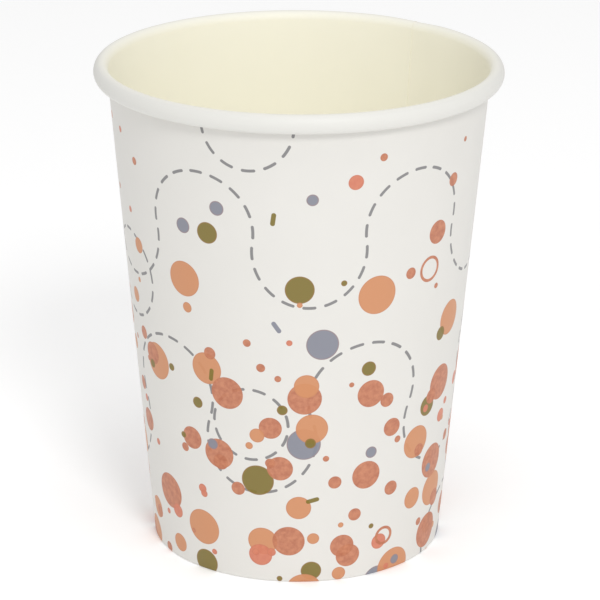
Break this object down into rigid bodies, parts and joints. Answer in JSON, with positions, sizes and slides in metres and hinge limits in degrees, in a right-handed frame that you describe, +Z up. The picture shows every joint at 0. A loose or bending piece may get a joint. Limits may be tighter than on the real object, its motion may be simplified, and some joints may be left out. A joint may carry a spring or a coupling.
{
  "type": "paper cup",
  "caption": "Tapered single-wall paper cup with a rolled rim, a lapped side seam and a recessed bottom, printed with plain confetti.",
  "frame": {"origin": "centre of the base edge, at the level the cup stands on", "axes": "+Z up along the cup's axis; -Y is the side that the picture shows"},
  "size_m": [0.078, 0.078, 0.0957],
  "materials": {
    "printed_board": "white cup board, satin, coated inside, printed with coral, peach, copper and olive confetti outside",
    "white_board": "white cup board, satin, coated"
  },
  "bodies": {
    "root": {"sidewall": "printed_board", "bottom_disc": "white_board"}
  },
  "joints": []
}
